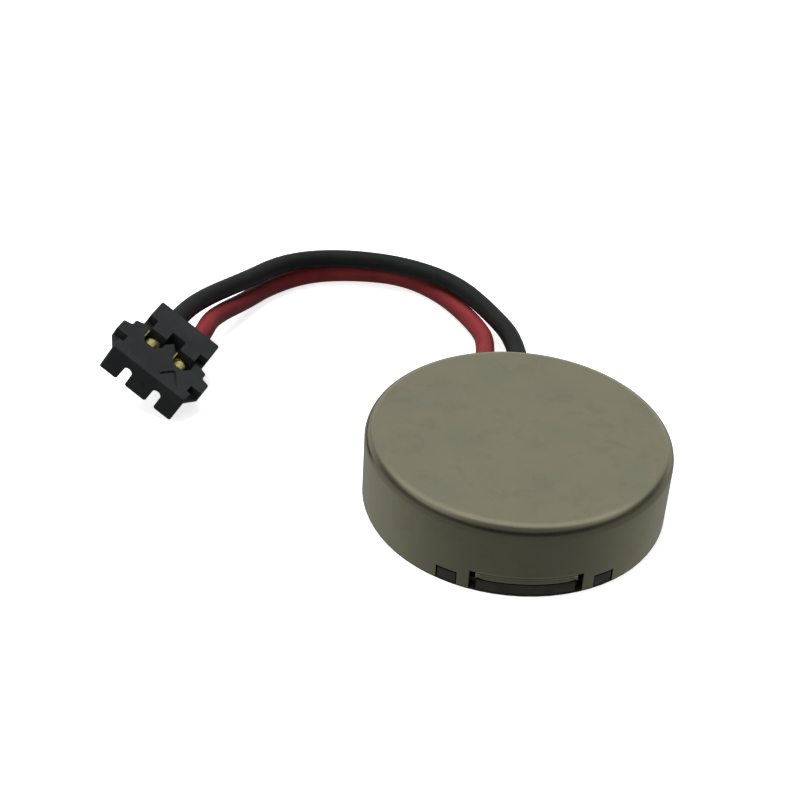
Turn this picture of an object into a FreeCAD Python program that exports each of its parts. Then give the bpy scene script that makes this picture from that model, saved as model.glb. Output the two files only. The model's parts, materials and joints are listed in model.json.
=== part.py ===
import FreeCAD, Part
import math
import os
import Sketcher

# A coin (pancake) vibration motor, in millimetres.  +Z is the shaft axis and points at the closed
# face of the can; the origin is the centre of the underside, on the adhesive film; the leads leave
# at the back, towards +Y, and bend round to the plug on the left.

# Driving dimensions: lengths in millimetres, angles in degrees.
SIZES = {
    # can
    "case_radius": 5.0,
    "overall_height": 2.6,
    "case_wall": 0.2,
    "shoulder_radius": 0.4,
    "shoulder_inner_radius": 0.2,
    "cutter_radius": 6.0,
    "full_turn": 360.0,
    # crimp tabs, slits, teeth and notches on the rim
    "front_station": 270.0,
    "left_station": 140.0,
    "right_station": 40.0,
    "rear_station": 90.0,
    "tab_half_angle": 18.3,
    "small_tab_half_angle": 12.9,
    "slit_angle": 2.2,
    "tooth_angle": 4.5,
    "notch_angle": 8.2,
    "slit_height": 0.68,
    "notch_height": 0.46,
    "exit_half_angle": 21.5,
    "exit_height": 0.74,
    "groove_depth": 0.07,
    "groove_drop": 0.05,
    "lip_height": 0.42,
    "lip_setback": 0.01,
    # base plate
    "film_thickness": 0.06,
    "film_radius": 4.98,
    "plate_radius": 4.74,
    "plate_thickness": 0.24,
    "ear_radius": 4.97,
    "ear_wall": 0.2,
    "ear_height": 0.38,
    "ear_gap_angle": 0.5,
    "boss_radius": 0.62,
    "boss_top": 0.95,
    "tongue_half_width": 1.7,
    "tongue_root": 4.0,
    "tongue_end": 7.0,
    "tongue_corner": 0.35,
    # flex circuit and its pads
    "flex_radius": 4.15,
    "flex_thickness": 0.1,
    "flex_hole_radius": 0.75,
    "flex_margin": 0.15,
    "pad_thickness": 0.03,
    "lead_pad_half": 0.42,
    "lead_pitch_half": 0.7,
    "lead_pad_y": 5.5,
    "brush_pad_half": 0.28,
    "brush_pad_y": 1.6,
    # magnet, shaft and washers
    "magnet_inner_radius": 2.55,
    "magnet_outer_radius": 4.1,
    "magnet_height": 0.8,
    "shaft_radius": 0.4,
    "washer_radius": 0.8,
    "washer_bore": 0.43,
    "washer_thickness": 0.12,
    # brushes
    "brush_x": 1.3,
    "brush_width": 0.4,
    "brush_leaf": 0.06,
    "brush_tip_run": 0.3,
    "brush_tip_drop": 0.12,
    "brush_rise": 0.85,
    "brush_heel": 1.65,
    "brush_length": 2.15,
    "brush_contact_y": 0.25,
    "finger_gap": 0.08,
    "finger_length": 1.2,
    # rotor
    "commutator_low": 1.3,
    "segment_thickness": 0.03,
    "segment_inner_radius": 0.95,
    "segment_outer_radius": 1.75,
    "segment_angle": 52.0,
    "board_thickness": 0.15,
    "board_hub_radius": 1.95,
    "rotor_radius": 4.4,
    "rotor_half_angle": 100.0,
    "resin_height": 0.74,
    "resin_hub_radius": 1.5,
    "coil_outer_radius": 1.15,
    "coil_inner_radius": 0.45,
    "coil_height": 0.56,
    "coil_pitch_radius": 2.85,
    "coil_spread": 52.0,
    "weight_inner_radius": 1.9,
    "weight_half_angle": 25.0,
    "bush_radius": 0.85,
    "bush_bore": 0.43,
    "bush_low": 1.1,
    "bush_top": 2.24,
    # leads
    "lead_radius": 0.35,
    "lead_bore": 0.16,
    "conductor_radius": 0.14,
    "strip_motor": 0.8,
    "strip_plug": 0.56,
    "solder_radius": 0.38,
    "solder_height": 0.5,
    "glue_half_width": 1.45,
    "glue_half_length": 0.5,
    "glue_height": 0.84,
    "glue_y": 6.42,
    # plug
    "plug_height": 1.2,
    "plug_length": 3.32,
    "plug_half_width": 1.54,
    "shoulder_y": 1.72,
    "block_half_width": 1.29,
    "block_start": 1.8,
    "ear_half_width": 1.86,
    "ear_taper_start": 0.3,
    "ear_start": 0.8,
    "ear_end": 1.35,
    "ear_back": 1.44,
    "ear_foot": 0.75,
    "web_top": 0.88,
    "ear_notch_x": 1.38,
    "ear_notch_start": 0.45,
    "plug_edge_radius": 0.1,
    "plug_top_radius": 0.04,
    "circuit_half_pitch": 0.625,
    "wire_half_pitch": 0.55,
    "slot_half_width": 0.175,
    "slot_height": 0.75,
    "slot_depth": 1.5,
    "window_inner": 0.22,
    "window_outer": 1.02,
    "window_taper": 0.18,
    "window_taper_depth": 0.3,
    "window_start": 1.12,
    "window_end": 1.88,
    "window_floor": 0.45,
    "pocket_half_width": 0.28,
    "tooth_inner": 0.29,
    "tooth_outer": 0.94,
    "latch_root": 1.6,
    "latch_point": 1.93,
    "latch_end": 2.36,
    "latch_floor": 0.68,
    "corner_floor": 0.88,
    "cavity_radius": 0.4,
    "cavity_start": 2.38,
    "crimp_cavity_radius": 0.27,
    "crimp_cavity_start": 1.5,
    "chevron_apex_y": 0.84,
    "chevron_length": 0.62,
    "chevron_width": 0.1,
    "chevron_depth": 0.06,
    "chevron_lean": 34.0,
    "gate_radius": 0.09,
    "gate_height": 0.54,
    "gate_proud": 0.02,
    # contacts
    "contact_radius": 0.21,
    "contact_axis": 0.8,
    "contact_start": 1.2,
    "contact_end": 1.64,
    "contact_nose": 0.1,
    "contact_leg": 0.07,
    "leg_reach": 0.19,
    "contact_foot": 0.12,
    "wing_reach": 0.37,
    "wing_thickness": 0.05,
    "wing_start": 1.47,
    "wing_length": 0.36,
    "wing_low": 0.6,
    "wing_top": 1.05,
    "strip_width_half": 0.1,
    "strip_thickness": 0.1,
    "strip_low": 0.39,
    "crimp_radius": 0.24,
    "crimp_bore": 0.15,
    "crimp_start": 1.8,
    "crimp_end": 2.3,
    "wire_axis": 0.6,
}

# Where the plug lies: the middle of its lower front edge, then yaw, pitch and roll.
PLUG_ORIGIN = FreeCAD.Vector(-12.968, 4.092, 0.84)
PLUG_ROTATION = FreeCAD.Rotation(-19.2, 32.4, 1.9)

# Centre lines of the two leads, from the motor to the plug, laid by hand.
BLACK_ROUTE = [
    (0.70, 6.00, 0.78),
    (0.76, 8.10, 0.80),
    (-0.15, 10.10, 0.91),
    (-1.38, 11.90, 1.08),
    (-3.20, 13.10, 1.09),
    (-5.20, 13.60, 1.08),
    (-7.00, 13.50, 1.10),
    (-8.40, 12.75, 1.19),
    (-9.50, 11.25, 1.35),
    (-10.50, 10.00, 1.53),
    (-11.15, 9.00, 1.68),
    (-11.68, 7.96, 1.75),
    (-12.27, 6.39, 1.71),
]
RED_ROUTE = [
    (-0.70, 6.00, 0.78),
    (-0.35, 8.00, 0.73),
    (-0.65, 10.00, 0.38),
    (-1.80, 12.15, 0.36),
    (-3.40, 13.55, 0.36),
    (-5.50, 13.80, 0.36),
    (-7.30, 13.50, 0.36),
    (-8.75, 12.35, 0.40),
    (-9.65, 10.90, 0.55),
    (-10.35, 9.65, 0.84),
    (-10.75, 8.60, 1.07),
    (-10.88, 7.58, 1.17),
    (-11.40, 6.08, 1.12),
]

# An arc at a corner of a lead starts this share of the shorter run away from the corner.
ARC_SHARE = 0.45

PARTS_FOLDER = "parts"
VERTICAL = FreeCAD.Vector(0, 0, 1)
NO_TURN = FreeCAD.Rotation()

doc = FreeCAD.newDocument("CoinMotor")
sheet = doc.addObject("Spreadsheet::Sheet", "Sizes")


def fill_sheet():
    """Write every driving dimension to the sheet, with its name as the cell's alias."""
    for row, (alias, value) in enumerate(SIZES.items(), start=1):
        sheet.set("A%d" % row, alias)
        sheet.set("B%d" % row, str(value))
        sheet.setAlias("B%d" % row, alias)
    doc.recompute()


def signed_words(text):
    """Split a sum such as 'case_radius - case_wall' into pairs of sign and word."""
    pairs = []
    sign = 1
    for word in text.split():
        if word in ("+", "-"):
            sign = -1 if word == "-" else 1
        else:
            pairs.append((sign, word))
            sign = 1
    return pairs


def size(text):
    """Value of a sum of named dimensions."""
    return sum(sign * SIZES[word] for sign, word in signed_words(text))


def negative(text):
    """The same sum with every sign turned round."""
    return " ".join("%s %s" % ("+" if sign < 0 else "-", word) for sign, word in signed_words(text))


def bind(thing, prop, text):
    """Tie a property to a sum of the sheet's cells."""
    pieces = []
    for sign, word in signed_words(text):
        pieces.append("%s Sizes.%s" % ("-" if sign < 0 else "+", word))
    thing.setExpression(prop, "0 " + " ".join(pieces))


def place(thing, x=None, y=None, z=None):
    """Tie a primitive's position to the sheet; an axis left out stays at zero."""
    for axis, text in (("x", x), ("y", y), ("z", z)):
        if text is not None:
            bind(thing, "Placement.Base." + axis, text)
    return thing


def rod(name, radius, height, z=None, x=None, y=None):
    """Upright round bar."""
    bar = doc.addObject("Part::Cylinder", name)
    bind(bar, "Radius", radius)
    bind(bar, "Height", height)
    return place(bar, x, y, z)


def bar_along_y(name, radius, length, x=None, y=None, z=None):
    """Round bar that runs towards +Y."""
    bar = doc.addObject("Part::Cylinder", name)
    bar.Placement = FreeCAD.Placement(FreeCAD.Vector(), FreeCAD.Rotation(FreeCAD.Vector(1, 0, 0), -90))
    bind(bar, "Radius", radius)
    bind(bar, "Height", length)
    return place(bar, x, y, z)


def wedge(name, radius, height, z, start, sweep):
    """Slice of an upright cylinder, from the azimuth start through sweep."""
    piece = doc.addObject("Part::Cylinder", name)
    piece.Placement = FreeCAD.Placement(FreeCAD.Vector(), FreeCAD.Rotation(VERTICAL, size(start)))
    bind(piece, "Radius", radius)
    bind(piece, "Height", height)
    bind(piece, "Angle", sweep)
    bind(piece, "Placement.Rotation.Angle", start)
    return place(piece, z=z)


def block(name, width, depth, height, x, y=None, z=None):
    """Box whose lowest corner is at x, y, z."""
    box = doc.addObject("Part::Box", name)
    bind(box, "Length", width)
    bind(box, "Width", depth)
    bind(box, "Height", height)
    return place(box, x, y, z)


def fuse(name, shapes):
    joined = doc.addObject("Part::MultiFuse", name)
    joined.Shapes = shapes
    joined.Refine = True
    return joined


def cut(name, base, tools):
    """Base with one tool or a list of tools taken away."""
    if isinstance(tools, list):
        tools = fuse(name + "_tools", tools) if len(tools) > 1 else tools[0]
    result = doc.addObject("Part::Cut", name)
    result.Base = base
    result.Tool = tools
    result.Refine = True
    return result


def group(name, solids):
    """Several separate solids that are one sub-part."""
    together = doc.addObject("Part::Compound", name)
    together.Links = solids
    return together


def tube(name, outer, bore, height, z=None):
    """Upright tube."""
    return cut(name, rod(name + "_outer", outer, height, z), rod(name + "_bore", bore, height, z))


def origin_plane(body, role):
    for feature in body.Origin.OriginFeatures:
        if feature.Role == role:
            return feature
    raise ValueError(role)


def outline_sketch(body, role, corners):
    """Closed outline of straight sides; each corner is tied to the sheet from the origin."""
    sketch = body.newObject("Sketcher::SketchObject", body.Name + "_outline")
    sketch.AttachmentSupport = [(origin_plane(body, role), "")]
    sketch.MapMode = "FlatFace"
    points = [FreeCAD.Vector(size(across), size(up), 0) for across, up in corners]
    for index, point in enumerate(points):
        sketch.addGeometry(Part.LineSegment(point, points[(index + 1) % len(points)]))
    for index in range(len(points)):
        following = (index + 1) % len(points)
        sketch.addConstraint(Sketcher.Constraint("Coincident", index, 2, following, 1))
    for index, (across, up) in enumerate(corners):
        for kind, text in (("DistanceX", across), ("DistanceY", up)):
            if not text:
                axis = -2 if kind == "DistanceX" else -1
                sketch.addConstraint(Sketcher.Constraint("PointOnObject", index, 1, axis))
                continue
            number = sketch.addConstraint(Sketcher.Constraint(kind, -1, 1, index, 1, size(text)))
            constraint_name = "%s%d" % (kind, index)
            sketch.renameConstraint(number, constraint_name)
            bind(sketch, "Constraints." + constraint_name, text)
    return sketch


def turned_body(name, corners):
    """Body made by turning an outline of (radius, height) corners about the vertical axis."""
    body = doc.addObject("PartDesign::Body", name)
    sketch = outline_sketch(body, "XZ_Plane", corners)
    turned = body.newObject("PartDesign::Revolution", name + "_turned")
    turned.Profile = sketch
    turned.ReferenceAxis = (sketch, ["V_Axis"])
    bind(turned, "Angle", "full_turn")
    doc.recompute()
    return body, turned


def edges_where(shape, test):
    """Names of a shape's edges that pass a test."""
    return ["Edge%d" % number for number, edge in enumerate(shape.Edges, start=1) if test(edge)]


def round_edges(body, feature, radius, test):
    """Fillet the edges of a body's last feature that pass a test."""
    fillet = body.newObject("PartDesign::Fillet", feature.Name + "_" + radius)
    fillet.Base = (feature, edges_where(feature.Shape, test))
    bind(fillet, "Radius", radius)
    doc.recompute()
    return fillet


def on_circle(edge, radius, height):
    """Whether an edge is the level circle of that radius at that height."""
    curve = edge.Curve
    if not isinstance(curve, Part.Circle):
        return False
    return abs(curve.Radius - size(radius)) < 1e-6 and abs(edge.BoundBox.ZMax - size(height)) < 1e-6


# --- can -----------------------------------------------------------------------------------------

NOTCH_RIGHT_START = "front_station + tab_half_angle + slit_angle + tooth_angle"
NOTCH_LEFT_START = "front_station - tab_half_angle - slit_angle - tooth_angle - notch_angle"


def crimped_tab(name, station, half_angle):
    """Tab of the can's wall, grooved along its top and flared below, over one of the plate's ears."""
    outer = size("case_radius")
    wall = size("case_wall")
    top = size("film_thickness + slit_height")
    groove = (outer - size("groove_depth"), top - size("groove_drop"))
    lip = (outer - size("lip_setback"), size("film_thickness + lip_height"))
    outline = [(outer, top), groove, lip]
    outline += [(radius - wall, height) for radius, height in reversed(outline)]
    points = [FreeCAD.Vector(radius, 0, height) for radius, height in outline]
    section = doc.addObject("Part::Feature", name + "_section")
    section.Shape = Part.Face(Part.makePolygon(points + points[:1]))
    tab = doc.addObject("Part::Revolution", name)
    tab.Source = section
    tab.Axis = VERTICAL
    tab.Solid = True
    bind(tab, "Angle", half_angle + " + " + half_angle)
    start = "%s - %s" % (station, half_angle)
    tab.Placement = FreeCAD.Placement(FreeCAD.Vector(), FreeCAD.Rotation(VERTICAL, size(start)))
    bind(tab, "Placement.Rotation.Angle", start)
    return tab


def rim_gap(name, station, reach, height):
    """Cutter that opens the rim from -reach to +reach either side of a station."""
    return wedge(name, "cutter_radius", height, "film_thickness", station + " " + negative(reach),
                 reach + " + " + reach)


def make_case_can():
    rim = "film_thickness"
    ceiling = "overall_height - case_wall"
    inside = "case_radius - case_wall"
    body, shell = turned_body("can_shell", [
        ("", "overall_height"), ("case_radius", "overall_height"), ("case_radius", rim),
        (inside, rim), (inside, ceiling), ("", ceiling),
    ])
    outer = round_edges(body, shell, "shoulder_radius",
                        lambda edge: on_circle(edge, "case_radius", "overall_height"))
    round_edges(body, outer, "shoulder_inner_radius",
                lambda edge: on_circle(edge, inside, ceiling))
    gaps = [
        rim_gap("front_gap", "front_station", "tab_half_angle + slit_angle", "slit_height"),
        rim_gap("left_gap", "left_station", "small_tab_half_angle + slit_angle", "slit_height"),
        rim_gap("right_gap", "right_station", "small_tab_half_angle + slit_angle", "slit_height"),
        rim_gap("lead_exit", "rear_station", "exit_half_angle", "exit_height"),
    ]
    for name, start in (("notch_right", NOTCH_RIGHT_START), ("notch_left", NOTCH_LEFT_START)):
        gaps.append(wedge(name, "cutter_radius", "notch_height", rim, start, "notch_angle"))
    opened = cut("can_opened", body, gaps)
    tabs = [
        crimped_tab("front_tab", "front_station", "tab_half_angle"),
        crimped_tab("left_tab", "left_station", "small_tab_half_angle"),
        crimped_tab("right_tab", "right_station", "small_tab_half_angle"),
    ]
    return fuse("case_can", [opened] + tabs)


# --- stator --------------------------------------------------------------------------------------

def make_adhesive_pad():
    return rod("adhesive_pad", "film_radius", "film_thickness")


def rounded_tongue(name, half_width, end, height, z):
    """Flat strip towards +Y with rounded outer corners."""
    corner = "tongue_corner"
    straight = end + " - tongue_root - " + corner
    main = block(name + "_strip", half_width + " + " + half_width, straight, height,
                 negative(half_width), "tongue_root", z)
    inset = half_width + " - " + corner
    tip = block(name + "_tip", inset + " + " + inset, corner, height, negative(inset),
                end + " - " + corner, z)
    rounds = []
    for side, centre in (("left", negative(inset)), ("right", inset)):
        rounds.append(rod("%s_%s" % (name, side), corner, height, z, centre, end + " - " + corner))
    return [main, tip] + rounds


def plate_ear(name, start, sweep):
    """Upturned edge of the base plate that fills an opening in the can's rim."""
    solid = wedge(name + "_wedge", "ear_radius", "ear_height", "film_thickness",
                  start + " + ear_gap_angle", sweep + " - ear_gap_angle - ear_gap_angle")
    hollow = rod(name + "_hollow", "ear_radius - ear_wall", "ear_height - plate_thickness",
                 "film_thickness + plate_thickness")
    return cut(name, solid, hollow)


def make_base_plate():
    plate = rod("plate_disc", "plate_radius", "plate_thickness", "film_thickness")
    boss = rod("shaft_boss", "boss_radius", "boss_top - film_thickness", "film_thickness")
    tongue = rounded_tongue("plate_tongue", "tongue_half_width", "tongue_end", "plate_thickness",
                            "film_thickness")
    ears = [
        plate_ear("front_ear", "front_station - tab_half_angle", "tab_half_angle + tab_half_angle"),
        plate_ear("left_ear", "left_station - small_tab_half_angle",
                  "small_tab_half_angle + small_tab_half_angle"),
        plate_ear("right_ear", "right_station - small_tab_half_angle",
                  "small_tab_half_angle + small_tab_half_angle"),
        plate_ear("notch_ear_right", NOTCH_RIGHT_START, "notch_angle"),
        plate_ear("notch_ear_left", NOTCH_LEFT_START, "notch_angle"),
    ]
    solid = fuse("plate_solid", [plate, boss] + tongue + ears)
    return cut("base_plate", solid, rod("plate_bore", "shaft_radius", "boss_top"))


def make_flex_circuit():
    low = "film_thickness + plate_thickness"
    disc = rod("flex_disc", "flex_radius", "flex_thickness", low)
    tongue = rounded_tongue("flex_tongue", "tongue_half_width - flex_margin",
                            "tongue_end - flex_margin", "flex_thickness", low)
    hole = rod("flex_hole", "flex_hole_radius", "flex_thickness", low)
    return cut("flex_circuit", fuse("flex_sheet", [disc] + tongue), hole)


PAD_LOW = "film_thickness + plate_thickness + flex_thickness"


def square_pad(name, half, x, y):
    """Thin square pad on the flex, centred on x, y."""
    return block(name, half + " + " + half, half + " + " + half, "pad_thickness",
                 x + " - " + half, y + " - " + half, PAD_LOW)


def make_solder_pads():
    pads = []
    for side, sign in (("left", "- "), ("right", "+ ")):
        pads.append(square_pad("lead_pad_" + side, "lead_pad_half", sign + "lead_pitch_half", "lead_pad_y"))
        pads.append(square_pad("brush_pad_" + side, "brush_pad_half", sign + "brush_x", "brush_pad_y"))
    return group("solder_pads", pads)


def make_ring_magnet():
    return tube("ring_magnet", "magnet_outer_radius", "magnet_inner_radius", "magnet_height", PAD_LOW)


def make_shaft():
    return rod("shaft", "shaft_radius", "overall_height - case_wall - film_thickness", "film_thickness")


def make_thrust_washers():
    lower = tube("thrust_washer_lower", "washer_radius", "washer_bore", "washer_thickness", "boss_top")
    upper = tube("thrust_washer_upper", "washer_radius", "washer_bore", "washer_thickness",
                 "overall_height - case_wall - washer_thickness")
    return [lower, upper]


def make_brush(name, sign):
    """Leaf-spring brush: a foot on its pad, a rising arm split into two fingers, a turned tip."""
    crest = "brush_rise"
    corners = [
        ("brush_length", ""), ("brush_heel", ""),
        ("brush_tip_run", crest + " - brush_leaf"), ("", crest + " - brush_leaf - brush_tip_drop"),
        ("", crest + " - brush_tip_drop"), ("brush_tip_run", crest),
        ("brush_heel + brush_leaf", "brush_leaf"), ("brush_length", "brush_leaf"),
    ]
    body = doc.addObject("PartDesign::Body", name + "_leaf")
    pad = body.newObject("PartDesign::Pad", name + "_pad")
    pad.Profile = outline_sketch(body, "YZ_Plane", corners)
    pad.SideType = "Symmetric"
    bind(pad, "Length", "brush_width")
    body.Tip = pad
    gap = block(name + "_gap", "finger_gap", "finger_length", "brush_rise", None)
    gap.Placement.Base.x = -size("finger_gap") / 2
    leaf = cut(name, body, gap)
    return place(leaf, sign + " brush_x", "- brush_contact_y", PAD_LOW + " + pad_thickness")


# --- rotor ---------------------------------------------------------------------------------------

BOARD_LOW = "commutator_low + segment_thickness"
RESIN_LOW = BOARD_LOW + " + board_thickness"


def make_commutator_segments():
    """Six gold-plated segments on the underside of the rotor board."""
    count = 6
    segments = []
    for number in range(count):
        start = 360.0 / count * number
        outer = doc.addObject("Part::Cylinder", "segment_outer_%d" % number)
        outer.Placement = FreeCAD.Placement(FreeCAD.Vector(), FreeCAD.Rotation(VERTICAL, start))
        bind(outer, "Radius", "segment_outer_radius")
        bind(outer, "Height", "segment_thickness")
        bind(outer, "Angle", "segment_angle")
        place(outer, z="commutator_low")
        inner = rod("segment_inner_%d" % number, "segment_inner_radius", "segment_thickness",
                    "commutator_low")
        segments.append(cut("segment_%d" % number, outer, inner))
    return group("commutator_segments", segments)


def half_disc(name, hub_radius, height, low):
    """The rotor's outline: a wide sector joined to a round hub."""
    sector = wedge(name + "_sector", "rotor_radius", height, low,
                   "front_station - rotor_half_angle", "rotor_half_angle + rotor_half_angle")
    hub = rod(name + "_hub", hub_radius, height, low)
    return fuse(name, [sector, hub])


def make_rotor_board():
    blank = half_disc("board_blank", "board_hub_radius", "board_thickness", BOARD_LOW)
    return cut("rotor_board", blank, rod("board_bore", "bush_radius", "board_thickness", BOARD_LOW))


def make_coil(name, side):
    """Flat round winding on the rotor board, side degrees away from the rotor's heavy axis."""
    azimuth = math.radians(size("front_station") + side * size("coil_spread"))
    radius = size("coil_pitch_radius")
    coil = tube(name, "coil_outer_radius", "coil_inner_radius", "coil_height", RESIN_LOW)
    coil.Placement.Base = FreeCAD.Vector(radius * math.cos(azimuth), radius * math.sin(azimuth), 0)
    return coil


def make_counterweight():
    outer = wedge("weight_outer", "rotor_radius", "resin_height", RESIN_LOW,
                  "front_station - weight_half_angle", "weight_half_angle + weight_half_angle")
    inner = rod("weight_inner", "weight_inner_radius", "resin_height", RESIN_LOW)
    return cut("counterweight", outer, inner)


def make_bearing_bush():
    return tube("bearing_bush", "bush_radius", "bush_bore", "bush_top - bush_low", "bush_low")


def make_rotor_body(coils, counterweight):
    """Moulded resin that fills the sector round the coils and the counterweight."""
    blank = half_disc("resin_blank", "resin_hub_radius", "resin_height", RESIN_LOW)
    bore = rod("resin_bore", "bush_radius", "resin_height", RESIN_LOW)
    return cut("rotor_body", blank, [bore, counterweight] + coils)


# --- leads ---------------------------------------------------------------------------------------

def rounded_path(points):
    """Straight runs joined by tangent arcs through a route; also the arcs' radii."""
    edges = []
    radii = []
    start = points[0]
    for before, corner, after in zip(points, points[1:], points[2:]):
        towards_before = before - corner
        towards_after = after - corner
        setback = ARC_SHARE * min(towards_before.Length, towards_after.Length)
        half_turn = (math.pi - towards_before.getAngle(towards_after)) / 2
        radius = setback / math.tan(half_turn)
        towards_before.normalize()
        towards_after.normalize()
        bisector = towards_before + towards_after
        bisector.normalize()
        middle = corner + bisector * (radius / math.cos(half_turn) - radius)
        arc_start = corner + towards_before * setback
        arc_end = corner + towards_after * setback
        edges.append(Part.LineSegment(start, arc_start).toShape())
        edges.append(Part.Arc(arc_start, middle, arc_end).toShape())
        radii.append(radius)
        start = arc_end
    edges.append(Part.LineSegment(start, points[-1]).toShape())
    return edges, radii


def swept_rod(edges, radius):
    """Round bar along a chain of tangent edges."""
    wire = Part.Wire(edges)
    start = edges[0].valueAt(edges[0].FirstParameter)
    direction = edges[0].tangentAt(edges[0].FirstParameter)
    ring = Part.Wire([Part.makeCircle(radius, start, direction)])
    return wire.makePipeShell([ring], True, False)


def report_tube(name, edges, radii, solid, section):
    """Print a tube's length, its radii and how its volume compares with section times length."""
    length = sum(edge.Length for edge in edges)
    print("%s: length %.2f, volume ratio %.4f, radii %s"
          % (name, length, solid.Volume / (section * length), [round(radius, 2) for radius in radii]))


def make_lead(colour, route):
    """Insulation, and the conductor that stands out of both its ends."""
    points = [FreeCAD.Vector(*point) for point in route]
    edges, radii = rounded_path(points)
    outer = size("lead_radius")
    bore = size("lead_bore")
    sleeve = swept_rod(edges, outer).cut(swept_rod(edges, bore))
    report_tube(colour + "_lead", edges, radii, sleeve, math.pi * (outer ** 2 - bore ** 2))
    insulation = doc.addObject("Part::Feature", colour + "_lead")
    insulation.Shape = sleeve
    envelope = doc.addObject("Part::Feature", colour + "_lead_envelope")
    envelope.Shape = swept_rod(edges, outer)

    first_run = (points[0] - points[1]).normalize()
    last_run = (points[-1] - points[-2]).normalize()
    bare_start = points[0] + first_run * size("strip_motor")
    bare_end = points[-1] + last_run * size("strip_plug")
    whole = [Part.LineSegment(bare_start, edges[0].valueAt(edges[0].LastParameter)).toShape()]
    whole += edges[1:-1]
    whole.append(Part.LineSegment(edges[-1].valueAt(edges[-1].FirstParameter), bare_end).toShape())
    core_radius = size("conductor_radius")
    core = swept_rod(whole, core_radius)
    report_tube(colour + "_lead_conductor", whole, radii, core, math.pi * core_radius ** 2)
    conductor = doc.addObject("Part::Feature", colour + "_lead_conductor")
    conductor.Shape = core
    return insulation, conductor, envelope


def dome(name, across, along, height, x, y, z):
    """Upper half of an ellipsoid."""
    cap = doc.addObject("Part::Ellipsoid", name)
    bind(cap, "Radius1", height)
    bind(cap, "Radius2", across)
    bind(cap, "Radius3", along)
    cap.Angle1 = 0
    return place(cap, x, y, z)


def make_solder_joints(conductors):
    joints = []
    for side, sign, conductor in zip(("left", "right"), ("-", "+"), conductors):
        cap = dome("solder_cap_" + side, "solder_radius", "solder_radius", "solder_height",
                   sign + " lead_pitch_half", "lead_pad_y",
                   PAD_LOW + " + pad_thickness")
        joints.append(cut("solder_joint_" + side, cap, conductor))
    return group("lead_solder_joints", joints)


def make_strain_relief_glue(leads):
    """Bead of glue that holds both leads down on the end of the tongue."""
    cap = dome("glue_cap", "glue_half_width", "glue_half_length", "glue_height", None, "glue_y", PAD_LOW)
    return cut("strain_relief_glue", cap, leads)


# --- plug, drawn upright with its front edge on the X axis and its wires leaving towards +Y --------

def make_plug_outline():
    """Half of the plug's plan, raised to full height and mirrored."""
    corners = [
        ("", ""), ("plug_half_width", ""), ("plug_half_width", "ear_taper_start"),
        ("ear_half_width", "ear_start"), ("ear_half_width", "ear_end"),
        ("plug_half_width", "ear_back"), ("plug_half_width", "shoulder_y"),
        ("block_half_width", "block_start"), ("block_half_width", "plug_length"),
        ("", "plug_length"),
    ]
    body = doc.addObject("PartDesign::Body", "plug_outline")
    sketch = outline_sketch(body, "XY_Plane", corners)
    pad = body.newObject("PartDesign::Pad", "plug_half")
    pad.Profile = sketch
    bind(pad, "Length", "plug_height")
    doc.recompute()
    mirrored = body.newObject("PartDesign::Mirrored", "plug_both_halves")
    mirrored.Originals = [pad]
    mirrored.MirrorPlane = (sketch, ["V_Axis"])
    body.Tip = mirrored
    doc.recompute()

    def upright(edge):
        box = edge.BoundBox
        full_height = abs(box.ZLength - size("plug_height")) < 1e-6
        return full_height and abs(box.Center.x) > size("block_half_width") - 1e-6

    return body, round_edges(body, mirrored, "plug_edge_radius", upright)


def mirrored_pair(name, width, depth, height, near, y, z):
    """Two boxes at plus and minus the same distance from the plug's middle."""
    right = block(name + "_right", width, depth, height, near, y, z)
    left = block(name + "_left", width, depth, height, negative(near + " + " + width), y, z)
    return [left, right]


def prism(name, corners, floor):
    """Everything above floor within an outline of (across, along) corners."""
    points = [FreeCAD.Vector(across, along, size(floor)) for across, along in corners]
    outline = doc.addObject("Part::Feature", name + "_outline")
    outline.Shape = Part.Face(Part.makePolygon(points + points[:1]))
    raised = doc.addObject("Part::Extrusion", name)
    raised.Base = outline
    raised.Dir = VERTICAL
    raised.DirMode = "Custom"
    raised.Solid = True
    bind(raised, "LengthFwd", "plug_height")
    return raised


def window_cutter(name, side):
    """Opening over one contact, narrower towards the front of the plug."""
    inner = size("window_inner")
    outer = size("window_outer")
    taper = size("window_taper")
    front = size("window_start")
    widest = size("window_start + window_taper_depth")
    back = size("window_end")
    corners = [
        (inner, back), (inner, widest), (inner + taper, front),
        (outer - taper, front), (outer, widest), (outer, back),
    ]
    return prism(name, [(side * across, along) for across, along in corners], "window_floor")


def latch_cutter():
    """Notch between the two latch teeth, with a pointed front that meets both windows."""
    half = [
        ("tooth_inner", "latch_end"), ("tooth_inner", "window_end"), ("window_inner", "window_end"),
        ("window_inner", "latch_root"),
    ]
    right = [(size(across), size(along)) for across, along in half]
    left = [(-across, along) for across, along in reversed(right)]
    return prism("latch_notch", right + [(0.0, size("latch_point"))] + left, "latch_floor")


def circuit_cutters(name, sign, side):
    """Everything taken out of the housing for one circuit."""
    centre = sign + " circuit_half_pitch"
    wire = sign + " wire_half_pitch"
    straight = "slot_height - slot_half_width"
    slot = block("slot_" + name, "slot_half_width + slot_half_width", "slot_depth", straight,
                 centre + " - slot_half_width")
    slot_top = bar_along_y("slot_top_" + name, "slot_half_width", "slot_depth", centre, None, straight)
    pocket = block("pocket_" + name, "pocket_half_width + pocket_half_width",
                   "window_end - window_start", "window_floor",
                   centre + " - pocket_half_width", "window_start")
    crimp_cavity = bar_along_y("crimp_cavity_" + name, "crimp_cavity_radius",
                               "plug_length - crimp_cavity_start", wire, "crimp_cavity_start",
                               "wire_axis")
    cavity = bar_along_y("cavity_" + name, "cavity_radius", "plug_length - cavity_start", wire,
                         "cavity_start", "wire_axis")
    return [slot, slot_top, pocket, crimp_cavity, cavity, window_cutter("window_" + name, side)]


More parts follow.
